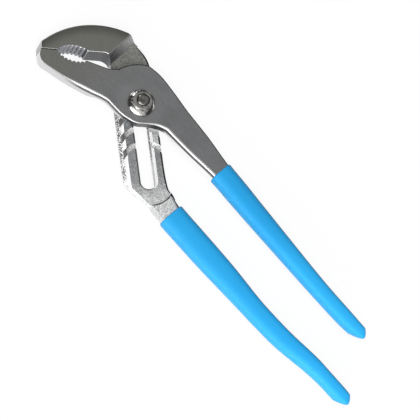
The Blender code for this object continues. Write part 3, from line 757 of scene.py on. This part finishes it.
frontHalf = makeFrontHalf()
print("front half:", len(frontHalf.data.polygons), "faces")
backHalf = makeBackHalf()
print("back half:", len(backHalf.data.polygons), "faces")
frontGrip = makeGrip("frontGrip", handle["front"], frontMiddle, handle["frontMouth"], handle["frontEnd"])
backGrip = makeGrip("backGrip", backStations, backMiddle,
                    slotEnd.x + handle["backMouth"], slotEnd.x + handle["backEnd"])
print("grips:", len(frontGrip.data.polygons), len(backGrip.data.polygons), "faces")
pivotBolt = makeBolt()
flangeNut = makeNut()
print("bolt and nut:", len(pivotBolt.data.polygons), len(flangeNut.data.polygons), "faces")

# a number for each face that says which finish, or which painted light or shade, it has
zones = {
    "plain": 0.0, "outer": 0.1, "meet": 0.2, "groove": 0.3, "bevel": 0.4, "chamfer": 0.45,
    "edge": 0.5, "floor": 0.6, "throat": 0.7, "teeth": 0.8, "step": 0.9, "face": 1.0,
}
zoneApart, noLimit = 0.02, 9.0


def below(value):
    return -noLimit, value


def above(value):
    return value, noLimit


# the first rule whose limits a face keeps gives its zone
steep, level, jawEdges, toMouth = below(0.4), above(0.9), (0.4, 0.95), above(0.3)
onJaw, onRail, onFrontJaw = below(backForging["stepFoot"] + 0.0005), above(-0.03), below(-0.035)
toContact, teethEnd = below(jaw["contact"]), below(jaw["contact"] + jaw["chord"] + 0.0008)
backRules = [
    ("meet", {"x": onJaw, "toMouth": toMouth, "facingZ": below(0.5), "along": toContact}),
    ("face", {"x": onJaw, "facingZ": above(0.95), "z": above(frontFace - 0.0005)}),
    ("teeth", {"x": onJaw, "lean": steep, "toMouth": toMouth, "along": teethEnd}),
    ("throat", {"x": below(-0.02), "lean": steep, "facingY": below(-0.1), "along": above(jaw["contact"])}),
    ("edge", {"x": onJaw, "facingZ": jawEdges, "facingX": below(0.7), "toMouth": toMouth}),
    ("edge", {"x": onJaw, "facingZ": jawEdges, "facingX": (0.1, 0.7), "z": above(frontFace - 0.0008)}),
    ("outer", {"x": onJaw, "lean": steep, "facingX": below(0)}),
    ("chamfer", {"pastEnd": above(0.008), "facingX": above(-0.1), "facingY": above(0.3),
                 "facingZ": (0.3, 0.92), "overRecess": above(0)}),
    ("step", {"pastEnd": above(0), "fromStep": (-0.0001, 0.0014), "facingZ": (0.15, 0.97), "toEnd": above(0)}),
    # foot of the room beside the base
    ("step", {"pastEnd": above(0.012), "fromStep": above(0), "facingZ": level, "overRecess": (-0.0001, 0.0001)}),
    ("floor", {"x": onRail, "facingZ": level, "overRecess": below(-0.001)}),
    ("bevel", {"x": onRail, "facingY": below(0), "facingZ": (0.5, 0.9), "overRecess": below(0.0005)}),
    ("groove", {"x": onRail, "lean": steep, "z": above(0.0088), "alongSlot": above(0.6)}),
]
frontRules = [
    ("meet", {"x": onFrontJaw, "facingX": below(0.1), "facingY": above(0.2), "facingZ": below(0.9),
              "along": toContact}),
    ("teeth", {"x": onFrontJaw, "lean": steep, "facingX": below(0), "facingY": above(0)}),
]


def markFaces(obj, rules):
    marks = obj.data.attributes.new("zone", "FLOAT", "FACE")
    for face, mark in zip(obj.data.polygons, marks.data):
        c, n = face.center, face.normal
        fromEnd = c.xy - slotEnd
        found = {
            "x": c.x, "z": c.z, "overRecess": c.z - recessFace, "along": (c.xy - jaw["tip"]).dot(jawAhead),
            "pastEnd": fromEnd.x, "fromStep": fromEnd.length - backForging["stepRadius"],
            "facingX": n.x, "facingY": n.y, "facingZ": n.z, "lean": abs(n.z), "toEnd": -n.xy.dot(fromEnd),
            "toMouth": -n.xy.dot(jawAhead.orthogonal()), "alongSlot": abs(n.xy.dot(slotAhead))}
        kept = (zone for zone, limits in rules
                if all(low < found[name] < high for name, (low, high) in limits.items()))
        mark.value = zones[next(kept, "plain")]


markFaces(backHalf, backRules)
markFaces(frontHalf, frontRules)


# where the round step meets the lower side, and which way that side runs
def stepEnd():
    corner = slotPoint(joint["slotLength"], -backForging["railLeft"])
    x, y, wide = backStations[0]
    way = (Vector((x, y - wide / 2)) - corner).normalized()
    offset = corner - slotEnd
    near = offset.dot(way)
    far = sqrt(backForging["stepRadius"] ** 2 - offset.length_squared + near ** 2)
    return corner + way * (far - near), way


# materials
def newFinish(name):
    finish = bpy.data.materials.new(name)
    finish.use_nodes = True
    return finish, finish.node_tree, finish.node_tree.nodes["Principled BSDF"]


def grey(value):
    return (value, value, value)


def addMix(factor, a, b, mode="MIX"):
    return addNode(treeOf(factor, a, b), "ShaderNodeMix", {0: factor, 6: a, 7: b},
                   data_type="RGBA", blend_type=mode)[2]


def addNoise(place, scale, detail, stretch=(1, 1, 1), turn=0):
    tree = place.id_data
    mapping = addNode(tree, "ShaderNodeMapping", {"Vector": place, "Scale": stretch, "Rotation": (0, 0, turn)})
    return addNode(tree, "ShaderNodeTexNoise", {
        "Vector": mapping[0], "Scale": scale, "Detail": detail})[0]


# values are sockets or numbers, a step in a tuple, or layers in a list
def setShader(shader, found, values, height, strength, distance):
    for name, value in values.items():
        if isinstance(value, list):
            value = layered(found, *value)
        elif isinstance(value, tuple):
            value = addMask(found, [value])
        put(value, shader.inputs[name])
    bump = addNode(height.id_data, "ShaderNodeBump", {
        "Height": height, "Strength": strength, "Distance": distance})
    put(bump[0], shader.inputs["Normal"])


def layeredFinish(name, look):
    finish, tree, shader = newFinish(name)
    found = surface(tree, look["noises"])
    height, *bump = look["bump"]
    setShader(shader, found, look["shader"], found[height], *bump)
    return finish


# step between two values of a source
def addStep(source, low, high, start=0.0, end=1.0, kind="SMOOTHSTEP"):
    return addNode(source.id_data, "ShaderNodeMapRange", {0: source, 1: low, 2: high, 3: start, 4: end},
                   interpolation_type=kind)[0]


def addProduct(first, *others):
    for other in others:
        first = addMath("MULTIPLY", first, other)
    return first


# what steps can measure: the place, the normal, noises, and the zones of single faces
def surface(tree, noises):
    coords = addNode(tree, "ShaderNodeTexCoord")
    place = coords["Object"]
    found = {"place": place, "spread": addVector("LENGTH", addVector("MULTIPLY", place, (1, 1, 0)))}
    for kind, names in (("Object", ("x", "y", "z")), ("Normal", ("facingX", "facingY", "facingZ"))):
        found.update(zip(names, addNode(tree, "ShaderNodeSeparateXYZ", {0: coords[kind]})))
    found["lean"] = addAbs(found["facingZ"])
    for name, settings in noises.items():
        found[name] = addNoise(place, *settings)
    marks = addNode(tree, "ShaderNodeAttribute", attribute_name="zone")["Fac"]
    for name, number in zones.items():
        found[name] = addNode(tree, "ShaderNodeMath", {0: marks, 1: number, 2: zoneApart},
                              operation="COMPARE")[0]
    return found


def addMask(found, steps):
    return addProduct(*(addStep(found[name], *limits) if limits else found[name] for name, *limits in steps))


# layers over a first colour: each has a tint, which may be layers too, and the steps that say where it is;
# a step names what it measures, low, high and what it gives if not 0 to 1; without a tint it is a shade
def layered(found, colour, *layers):
    for tint, *steps in layers:
        mask = addMask(found, steps)
        if tint is None:
            colour = addMix(1.0, colour, mask, "MULTIPLY")
        else:
            colour = addMix(mask, colour, layered(found, *tint) if isinstance(tint, list) else tint)
    return colour


# plate masks and tints: the x step fades the painted edge light towards the tip, the far-edge mask carries
# painted shade, and the darker grey is painted shade
groundSide, paintedEdgeLightFade = ("lean", 0.55, 0.25), ("x", -0.047, -0.031)
paintedFarEdgeShade = [("facingY", 0.0, 0.15), ("facingZ", 0.1, 0.3)]
groundPale, groundPaintedDark = (0.7, 0.7, 0.71), (0.12, 0.12, 0.125)
groundLook = {
    "noises": {"cloud": (70, 5), "streak": (2200, 2, (0.05, 1, 1), radians(14)), "grain": (1300, 3)},
    "shader": {
        "Base Color": [
            (0.49, 0.497, 0.505),
            ((0.545, 0.552, 0.565), ("cloud", 0.35, 0.65)),
            ((0.47, 0.465, 0.425), ("x", -0.01, -0.06, 0, 0.8)),   # olive towards the tip
            (grey(0.25), ("streak", 0.3, 0.7, 0.0, 0.16)),
            (None, ("grain", 0.25, 0.75, 0.9, 1.1)),
            (groundPale, ("spread", 0.009, 0.011), ("spread", 0.019, 0.012, 0, 0.22)),   # round the nut
            (groundPale, groundSide),
            (grey(0.97), groundSide, ("x", 0.015, 0.03)),   # handle's side
            # painted dark reflection on the side wall beside the bolt
            (groundPaintedDark, groundSide, ("facingX", 0.2, 0.5), ("x", -0.004, 0.002)),   # beside the bolt
            # painted shade stripe below the near edge and painted highlight on the bevel above it, both fading
            # towards the tip, where the bevel is painted darker instead
            (groundPaintedDark, ("z", frontFace - 0.0046, frontFace - 0.0036),
             ("facingZ", 0.48, 0.36), ("facingY", -0.1, -0.3), paintedEdgeLightFade),
            ([(0.25, 0.25, 0.24), (groundPale, paintedEdgeLightFade)],
             ("facingZ", 0.36, 0.48), ("facingY", -0.02, -0.3)),
            # painted shade on the far, +Y-facing edges, which also lose their specular
            ((0.06, 0.06, 0.063), *paintedFarEdgeShade),
            ((0.36, 0.375, 0.4), ("teeth",)),
            # painted shade where the tips meet
            (grey(0.1), ("meet",))],
        "Roughness": ("streak", 0.25, 0.75, 0.3, 0.38), "Metallic": 1,
        "Specular Tint": [grey(1), (grey(0), *paintedFarEdgeShade)]},
    "bump": ("streak", 0.05, 0.0001),
}

# the first two greys here are painted highlight and painted shade
blastPaintedBright, blastPaintedDark, blastFoot = (0.95, 0.95, 0.96), (0.05, 0.05, 0.053), (0.4, 0.4, 0.41)
blastNear = ("facingY", 0.0, -0.3)
blastBlock = [("x", 0.033, 0.035), ("x", 0.053, 0.0515)]
# far-facing edges, where painted shade goes
blastFarEdgeShade = [("facingY", 0.15, 0.4), ("facingZ", 0.1, 0.3), ("aside", 0.006, 0.008, 0.6, 1.0)]
blastChamfer = [("z", 0.0125, 0.012), ("z", 0.0129, 0.0131)]
rimCentre, rimRadius = circleThrough(*jawBackEdge(2))
blastLook = {
    "noises": {"grain": (1400, 2), "cloud": (160, 3)},
    "seam": 0.0084,
    "lineLean": 0.57,
    # side walls facing the near side are painted near white: painted light, with the marks below over it
    "side": [
        blastPaintedBright,
        # the base's draft, its seam, and the foot
        ((0.8, 0.8, 0.81), *blastBlock, ("z", 0.0084, 0.0078)),
        (blastFoot, *blastBlock, ("fromSeam", 0.0007, 0.0003)),
        ([(0.7, 0.7, 0.71), (blastFoot, *blastBlock)],
         ("z", backFace + 0.0012, backFace + 0.0006)),
        # painted shade: the round step's dark line runs on down the side
        (blastPaintedDark, ("fromLine", 0.001, 0.0007)),
        # inside the slot the near side is greyer: painted shade
        (grey(0.66), ("aside", 0.0064, 0.0058))],   # inside the slot
    "colour": [
        (0.285, 0.285, 0.264),
        ((0.25, 0.262, 0.27), ("along", -0.02, -0.005)),
        # lighter towards the handle's base: a painted highlight
        ((0.36, 0.366, 0.374), ("along", 0.02, 0.032)),
        ((0.78, 0.79, 0.79), ("along", 0.046, 0.066)),
        # the right rail is paler between two grooves
        ((0.62, 0.63, 0.63), ("along", 0.012, 0.015), ("along", 0.027, 0.026), ("across", 0.004, 0.005),
         ("facingZ", 0.7, 0.9)),
        # painted shade on the slope behind the jaw, darkest at its mouth end
        ([grey(0.11), (grey(0.36), ("y", 0.008, 0.024))], ("facingX", 0.35, 0.55), ("x", -0.026, -0.03)),
        ([grey(0.72), (grey(0.2), ("across", -0.0095, -0.012))], ("floor",)),
        # painted shade on the groove walls
        (grey(0.07), ("groove",))],
    "shade": [
        (None, ("grain", 0.3, 0.7, 0.62, 1.3), ("cloud", 0.3, 0.7, 0.92, 1.06)),
        # painted highlight on rounded edges facing the near side
        (blastPaintedBright, ("facingZ", 0.2, 0.45), ("facingZ", 0.98, 0.88), ("facingY", -0.1, -0.3)),
        # painted shade on far-facing edges, which also lose their specular
        (blastPaintedDark, *blastFarEdgeShade)],
    "onSide": [("lean", 0.5, 0.25), blastNear],
    # dark pits low on the near side of the rail
    "pits": [("z", 0.01, 0.0084), ("facingZ", -0.6, -0.4), blastNear, ("x", 0.033, 0.029),
             ("x", -0.034, -0.028), ("pitted", 0.54, 0.48)],
    "fewerPits": (-0.01, 0.04, -0.06, 0.01),
    # painted shade where the tips meet, only where the lower jaw stands against the upper one
    "meet": [("meet",), ("z", 0.005, 0.008)],
    # share of metal and colour of single zones: step, throat and meet are dark for painted shade, edge and bevel
    # light for painted highlight
    "metal": 0.55,
    "zones": {
        "face": (1.0, (0.47, 0.472, 0.428)), "step": (1.0, blastPaintedDark), "teeth": (0.35, (0.31, 0.322, 0.35)),
        "throat": (0.9, (0.065, 0.068, 0.074)), "edge": (1.0, grey(0.95)), "chamfer": (0.2, (0.5, 0.5, 0.51)),
        "bevel": (0.3, grey(0.97)), "meet": (1.0, grey(0.1)), "outer": (1.0, grey(0.42))},
    "zoneCloud": ("cloud", 0.3, 0.7, 0, 0.1),
    "zoneDark": 0.45,
    "zoneSmooth": 0.14,
    "zoneBump": (0, 1, 1.0, 0.1),
    # the jaw's face darkens towards its round back edge
    "rimShade": (rimRadius - 0.009, rimRadius - 0.0005, 1.0, 0.55),
    "over": [
        # the chamfer beside the handle's base has a painted highlight on its inner and painted shade on its
        # outer edge
        ([blastPaintedBright, (blastPaintedDark, blastChamfer[0])], ("chamfer",), ("chamferEnds",)),
        (grey(0.04), ("pits",))],
    "dullMetal": (0, 1, 1, 0),
    "dullLevel": (0, 1, 0.5, 0.0),
    "rough": (0.3, 0.7, 0.38, 0.58),
    "bump": (0.25, 0.0002),
}


def blastedSteel():
    finish, tree, shader = newFinish("blastedSteel")
    look = blastLook
    found = surface(tree, look["noises"])
    place = found["place"]
    found["along"] = addVector("DOT_PRODUCT", place, (*slotAhead, 0))
    found["across"] = addVector("DOT_PRODUCT", place, (*slotSide, 0))
    found["aside"] = addAbs(found["across"])
    found["fromSeam"] = addAbs(addMath("SUBTRACT", found["z"], look["seam"]))
    end, way = stepEnd()
    line = addVector("DOT_PRODUCT", place, (*way, -look["lineLean"]))
    middle = end.dot(way) - look["lineLean"] * recessFace
    found["fromLine"] = addAbs(addMath("SUBTRACT", line, middle))
    found["pitted"] = addMath("ADD", found["grain"], addStep(found["along"], *look["fewerPits"]))
    found["chamferEnds"] = addMath("MAXIMUM", *(addMask(found, [step]) for step in blastChamfer))
    for name in ("pits", "meet"):
        found[name] = addMask(found, look[name])
    colour = layered(found, *look["colour"], (look["side"], *look["onSide"]), *look["shade"])
    smooth, metal = 0, look["metal"]
    for name, (share, plain) in look["zones"].items():
        tint = [plain, (grey(look["zoneDark"] * plain[1]), look["zoneCloud"])]
        colour = layered(found, colour, (tint, (name,)))
        smooth = addMath("ADD", smooth, found[name])
        metal = addMath("ADD", metal, addProduct(found[name], share - look["metal"]))
    fromRim = addVector("DISTANCE", place, (*rimCentre, frontFace))
    colour = addMix(found["face"], colour, addStep(fromRim, *look["rimShade"]), "MULTIPLY")
    matt = addMath("MAXIMUM", found["pits"], found["groove"])
    dull = addMath("MAXIMUM", addMask(found, blastFarEdgeShade), matt)
    rough = addMath("SUBTRACT", addStep(found["grain"], *look["rough"]), addProduct(smooth, look["zoneSmooth"]))
    setShader(shader, found, {
        "Base Color": [colour, *look["over"]], "Roughness": rough,
        "Metallic": addProduct(metal, addStep(matt, *look["dullMetal"])),
        "Specular Tint": addMix(dull, grey(1), grey(0)), "Specular IOR Level": addStep(dull, *look["dullLevel"]),
    }, addProduct(found["grain"], addStep(smooth, *look["zoneBump"])), *look["bump"])
    return finish


vinylLook = {
    "noises": {"cloud": (40, 3, (0.3, 1, 1)), "peel": (260, 2)},
    "shader": {
        "Base Color": [
            (0.016, 0.32, 0.68),
            ((0.02, 0.355, 0.725), ("cloud", 0.35, 0.7, 0, 1, "LINEAR")),
            (None, ("x", 0.06, 0.23, 0.88, 1.05)),
            # painted shade on the grips' far, +Y-facing side
            (None, ("facingY", 0.45, 0.92, 1.0, 0.35))],
        "Roughness": ("peel", 0.3, 0.7, 0.46, 0.56, "LINEAR"),
        "Specular IOR Level": 0.35},
    "bump": ("peel", 0.05, 0.0004),
}
platingLook = {
    "blotch": 0.55,
    "bolt": ((0.42, 0.41, 0.39), (0.15, 0.26)),
    "nut": ((0.74, 0.73, 0.7), (0.07, 0.14)),
}


def platedSteel(kind):
    colour, rough = platingLook[kind]
    darker = tuple(platingLook["blotch"] * value for value in colour)
    return layeredFinish(kind + "Plating", {
        "noises": {"haze": (500, 3), "fine": (2500, 2)},
        "shader": {"Base Color": [darker, (colour, ("haze", 0.35, 0.62))], "Metallic": 1,
                   "Roughness": ("haze", 0.3, 0.7, *rough, "LINEAR")},
        "bump": ("fine", 0.03, 0.00005)})


def dress(obj, finish, body, node):
    obj.data.materials.clear()
    obj.data.materials.append(finish)
    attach(obj, body)
    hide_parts(node)


vinyl = layeredFinish("blueVinyl", vinylLook)
dress(frontHalf, layeredFinish("groundSteel", groundLook), "tongue_half", "front_half")
dress(backHalf, blastedSteel(), "slotted_half", "back_half")
dress(frontGrip, vinyl, "tongue_half", "front_grip")
dress(backGrip, vinyl, "slotted_half", "back_grip")
dress(pivotBolt, platedSteel("bolt"), "pivot", "pivot_bolt")
dress(flangeNut, platedSteel("nut"), "pivot", "flange_nut")
print("finishes on")

# camera, floor and lights
studio = {
    "right": Vector((0.6658, 0.7148, 0.214)),
    "up": Vector((-0.7394, 0.5938, 0.3173)),
    "aim": Vector((0.0801, -0.0091, 0.006)),
    "frame": 0.2696, "lens": 800, "sensor": 36, "clip": (0.1, 100), "floorSize": 30,
    "floorShadow": 0.12,
    "paper": grey(0.9),
    "paperRough": 0.9, "wallSide": (0.42, -0.84, 0.3), "ceiling": (0.35, 0.9, 0.06, 0.32),
    "wall": (0.5, 0.85, 0, 0.95), "horizon": (0.05, 0.04),
    # name, place, aim, size, power, and whether it shows in reflections
    "lamps": [
        ("lowSide", (0.25, -1.3, 0.52), (0.08, 0, 0), (2.0, 0.45), 10, True),
        ("leftStrip", (-1.0, 0.35, 0.28), (0, 0, 0.02), (0.3, 0.3), 1.5, True),
        ("overhead", (0.25, -0.5, 1.5), (0.08, 0, 0), (1.0, 1.0), 21, False)],
}

eye = setAll(bpy.data.cameras.new("camera"), lens=studio["lens"], sensor_width=studio["sensor"],
             clip_start=studio["clip"][0], clip_end=studio["clip"][1])
camera = addPiece("camera", eye)
right, up = studio["right"].normalized(), studio["up"].normalized()
back = right.cross(up).normalized()
distance = studio["frame"] * eye.lens / eye.sensor_width
turn = Matrix((right, back.cross(right), back)).transposed()
camera.matrix_world = Matrix.Translation(studio["aim"] + back * distance) @ turn.to_4x4()
scene.camera = camera

half = studio["floorSize"] / 2
floorMesh = bpy.data.meshes.new("floor")
corners = [(-half, -half, 0), (half, -half, 0), (half, half, 0), (-half, half, 0)]
floorMesh.from_pydata(corners, [], [(0, 1, 2, 3)])
floor = addPiece("floor", floorMesh)
paper, tree, shader = newFinish("paper")
put(studio["paper"], shader.inputs["Base Color"])
put(studio["paperRough"], shader.inputs["Roughness"])
path = addNode(tree, "ShaderNodeLightPath")
seen = addMath("MAXIMUM", path["Is Camera Ray"], path["Is Glossy Ray"])
seen = addMath("MAXIMUM", seen, path["Is Transmission Ray"])
share = addMath("MULTIPLY", seen, 1 - studio["floorShadow"])
white = addNode(tree, "ShaderNodeEmission", {"Strength": 1.0})
both = addNode(tree, "ShaderNodeMixShader", {0: share, 1: shader.outputs[0], 2: white[0]})
put(both[0], tree.nodes["Material Output"].inputs[0])
floorMesh.materials.append(paper)

# dark room with a dim ceiling, a broad pale wall low on the near side and a thin white horizon
room = bpy.data.worlds.new("room")
scene.world = room
room.use_nodes = True
tree = room.node_tree
ray = addNode(tree, "ShaderNodeTexCoord")["Generated"]
height = addNode(tree, "ShaderNodeSeparateXYZ", {0: ray})[2]
wall = addVector("DOT_PRODUCT", ray, studio["wallSide"])
light = addMath("ADD", addStep(height, *studio["ceiling"]), addStep(wall, *studio["wall"]))
light = addMath("MAXIMUM", light, addStep(addAbs(height), *studio["horizon"]))
put(light, tree.nodes["Background"].inputs[0])

for name, place, aim, size, power, glossy in studio["lamps"]:
    lamp = setAll(bpy.data.lights.new(name, "AREA"), shape="RECTANGLE", size=size[0], size_y=size[1],
                  energy=power)
    way = (Vector(aim) - Vector(place)).to_track_quat("-Z", "Y")
    setAll(addPiece(name, lamp), location=place, rotation_mode="QUATERNION", rotation_quaternion=way,
           visible_glossy=glossy)
scene.view_settings.view_transform = "Standard"
